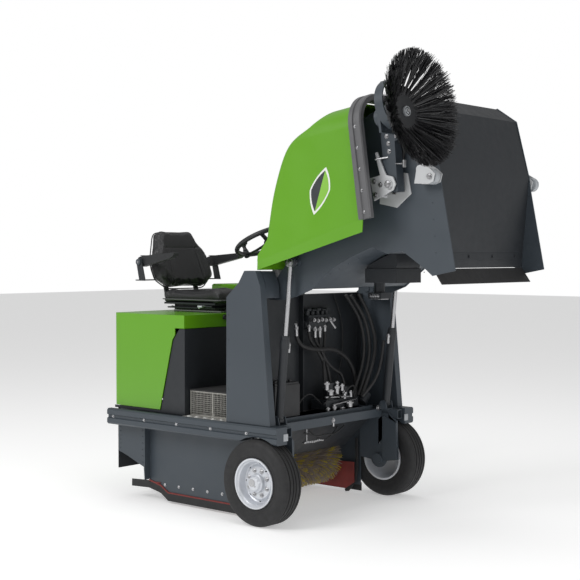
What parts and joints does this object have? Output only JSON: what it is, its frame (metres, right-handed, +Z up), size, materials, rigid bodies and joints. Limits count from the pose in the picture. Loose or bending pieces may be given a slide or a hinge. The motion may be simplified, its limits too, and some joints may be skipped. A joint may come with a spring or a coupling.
{
  "type": "ride-on sweeper",
  "caption": "Ride-on floor sweeper with its front hopper raised for high dumping: lift cylinders, rotary side brush, roller brush, driver's seat and rear steered wheel.",
  "frame": {"origin": "on the ground under the middle of the machine's bounding box", "axes": "+X forwards, the way the driver looks; +Y to the driver's left; +Z up"},
  "size_m": [2.1894, 1.377, 2.1634],
  "materials": {
    "green_plastic": "gloss",
    "slate_paint": "satin",
    "black_paint": "satin",
    "silver_paint": "satin",
    "light_cast": "satin",
    "steel": "brushed",
    "zinc_mesh": "satin",
    "tyre": "matte",
    "black_rubber": "matte",
    "red_rubber": "matte",
    "grey_rubber": "satin",
    "black_plastic": "matte",
    "grey_plastic": "satin",
    "seat_vinyl": "satin",
    "brush_fibre": "matte"
  },
  "bodies": {
    "chassis": {"chassis_frame": "slate_paint", "left_post": "slate_paint", "right_post": "slate_paint", "bulkhead": "black_paint", "left_rail": "slate_paint", "right_rail": "slate_paint", "left_skirt_panel": "slate_paint", "right_skirt_panel": "slate_paint", "skirt_lips": "black_rubber", "skirt_seals": "red_rubber", "tread_plate": "slate_paint", "foot_platform": "black_rubber", "mesh_guards": "zinc_mesh", "bay_shroud": "black_paint", "engine": "black_paint", "battery": "black_plastic", "hydraulic_valves": "steel", "hydraulic_hoses": "black_rubber", "steering_column": "black_plastic"},
    "hopper": {"left_hopper_side": "slate_paint", "right_hopper_side": "slate_paint", "hopper_floor": "black_paint", "hopper_flap": "black_rubber", "hopper_bin": "slate_paint", "shaker_unit": "black_paint", "hood": "green_plastic", "hood_bumper": "grey_rubber", "roller_brackets": "light_cast", "side_brush_bracket": "light_cast"},
    "left_barrel": {"left_lift_barrel": "black_paint"},
    "right_barrel": {"right_lift_barrel": "black_paint"},
    "left_rod": {"left_lift_rod": "steel"},
    "right_rod": {"right_lift_rod": "steel"},
    "left_wheel": {"left_tyre": "tyre", "left_rim": "silver_paint"},
    "right_wheel": {"right_tyre": "tyre", "right_rim": "silver_paint"},
    "rear_fork": {"drive_fork": "black_paint"},
    "rear_wheel": {"drive_wheel": "black_rubber"},
    "wheel_rim": {"steering_wheel": "black_plastic"},
    "spinner": {"spinner_knob": "black_plastic"},
    "arms": {"brush_arms": "black_paint"},
    "main_brush": {"brush_core": "grey_plastic", "brush_bristles": "brush_fibre"},
    "left_corner_roller": {"left_roller": "grey_plastic"},
    "right_corner_roller": {"right_roller": "grey_plastic"},
    "side_arm": {"side_brush_arm": "slate_paint"},
    "side_brush": {"side_brush_disc": "black_plastic", "side_brush_bristles": "black_plastic"},
    "cover": {"engine_cover": "green_plastic", "seat_rails": "steel"},
    "latch": {"cover_latch": "black_plastic"},
    "seat": {"seat_pan": "black_paint", "seat_cushion": "seat_vinyl", "seat_backrest": "seat_vinyl"},
    "left_rest": {"left_armrest": "black_plastic"},
    "right_rest": {"right_armrest": "black_plastic"},
    "lever": {"lift_lever": "black_plastic"},
    "pedal_drive": {"drive_pedal": "black_rubber"},
    "pedal_brake": {"brake_pedal": "black_rubber"}
  },
  "joints": [
    {"name": "hopper_lift", "type": "hinge", "parent": "chassis", "child": "hopper", "pos_m": [0.0455, 0.1155, 1.113], "axis": [0, 1, 0], "range_deg": [0, 98]},
    {"name": "left_cylinder_pivot", "type": "hinge", "parent": "chassis", "child": "left_barrel", "pos_m": [0.1305, 0.5455, 0.5], "axis": [0, 1, 0], "range_deg": [-1.06, 0]},
    {"name": "left_cylinder_stroke", "type": "slide", "parent": "left_barrel", "child": "left_rod", "axis": [0.0986, 0, 0.9951], "range_m": [-0.3253, 0]},
    {"name": "left_wheel_spin", "type": "hinge", "parent": "chassis", "child": "left_wheel", "pos_m": [0.0915, 0.6235, 0.2075], "axis": [0, 1, 0], "continuous": true},
    {"name": "left_roller_spin", "type": "hinge", "parent": "hopper", "child": "left_corner_roller", "pos_m": [1.0035, 0.5375, 1.628], "axis": [0, 1, 0], "continuous": true},
    {"name": "left_armrest_fold", "type": "hinge", "parent": "seat", "child": "left_rest", "pos_m": [-1.0085, 0.3805, 1.252], "axis": [0, 1, 0], "range_deg": [-85, 0]},
    {"name": "right_cylinder_pivot", "type": "hinge", "parent": "chassis", "child": "right_barrel", "pos_m": [0.1305, -0.3145, 0.5], "axis": [0, 1, 0], "range_deg": [-1.06, 0]},
    {"name": "right_cylinder_stroke", "type": "slide", "parent": "right_barrel", "child": "right_rod", "axis": [0.0986, 0, 0.9951], "range_m": [-0.3253, 0]},
    {"name": "right_wheel_spin", "type": "hinge", "parent": "chassis", "child": "right_wheel", "pos_m": [0.0915, -0.3925, 0.2075], "axis": [0, 1, 0], "continuous": true},
    {"name": "right_roller_spin", "type": "hinge", "parent": "hopper", "child": "right_corner_roller", "pos_m": [1.0035, -0.3065, 1.628], "axis": [0, 1, 0], "continuous": true},
    {"name": "right_armrest_fold", "type": "hinge", "parent": "seat", "child": "right_rest", "pos_m": [-1.0085, -0.1495, 1.252], "axis": [0, 1, 0], "range_deg": [-85, 0]},
    {"name": "fork_steer", "type": "hinge", "parent": "chassis", "child": "rear_fork", "pos_m": [-0.7885, 0.1155, 0.45], "axis": [0, 0, 1], "range_deg": [-75, 75]},
    {"name": "rear_wheel_spin", "type": "hinge", "parent": "rear_fork", "child": "rear_wheel", "pos_m": [-0.7885, 0.1155, 0.17], "axis": [0, 1, 0], "continuous": true},
    {"name": "steering_turn", "type": "hinge", "parent": "chassis", "child": "wheel_rim", "pos_m": [-0.3185, 0.1155, 1.368], "axis": [-0.4226, 0, 0.9063], "range_deg": [-450, 450]},
    {"name": "spinner_turn", "type": "hinge", "parent": "wheel_rim", "child": "spinner", "pos_m": [-0.47892, 0.1155, 1.2932], "axis": [-0.4226, 0, 0.9063], "continuous": true},
    {"name": "brush_arm_lift", "type": "hinge", "parent": "chassis", "child": "arms", "pos_m": [-0.5425, 0.1155, 0.3], "axis": [0, 1, 0], "range_deg": [0, 8]},
    {"name": "main_brush_spin", "type": "hinge", "parent": "arms", "child": "main_brush", "pos_m": [-0.2585, 0.1155, 0.193], "axis": [0, 1, 0], "continuous": true},
    {"name": "side_arm_lift", "type": "hinge", "parent": "hopper", "child": "side_arm", "pos_m": [0.8045, -0.3145, 1.601], "axis": [0, 1, 0], "range_deg": [-6, 0]},
    {"name": "side_brush_spin", "type": "hinge", "parent": "side_arm", "child": "side_brush", "pos_m": [0.9615, -0.4345, 1.901], "axis": [0.9903, 0, 0.1392], "continuous": true},
    {"name": "cover_open", "type": "hinge", "parent": "chassis", "child": "cover", "pos_m": [-0.9905, 0.1155, 0.5], "axis": [0, 1, 0], "range_deg": [-50, 0]},
    {"name": "latch_turn", "type": "hinge", "parent": "cover", "child": "latch", "pos_m": [-0.4335, -0.0995, 0.966], "axis": [1, 0, 0], "range_deg": [0, 90]},
    {"name": "seat_adjust", "type": "slide", "parent": "cover", "child": "seat", "axis": [1, 0, 0], "range_m": [-0.02, 0.02]},
    {"name": "lift_lever_tilt", "type": "hinge", "parent": "cover", "child": "lever", "pos_m": [-0.5485, 0.4455, 1.1], "axis": [0, 1, 0], "range_deg": [-15, 15], "stiffness_Nm_per_rad": 4},
    {"name": "drive_pedal_tilt", "type": "hinge", "parent": "chassis", "child": "pedal_drive", "pos_m": [-0.2485, -0.0345, 0.64], "axis": [0, 1, 0], "range_deg": [0, 12], "stiffness_Nm_per_rad": 8},
    {"name": "brake_pedal_tilt", "type": "hinge", "parent": "chassis", "child": "pedal_brake", "pos_m": [-0.2485, 0.2655, 0.64], "axis": [0, 1, 0], "range_deg": [0, 12], "stiffness_Nm_per_rad": 8}
  ],
  "couplings": [
    {"joint": "left_cylinder_pivot", "follows": "hopper_lift", "ratio": -0.010302},
    {"joint": "left_cylinder_stroke", "follows": "hopper_lift", "m_per_rad": -0.18987},
    {"joint": "right_cylinder_pivot", "follows": "hopper_lift", "ratio": -0.010302},
    {"joint": "right_cylinder_stroke", "follows": "hopper_lift", "m_per_rad": -0.18987},
    {"joint": "steering_turn", "follows": "fork_steer", "ratio": 6}
  ]
}
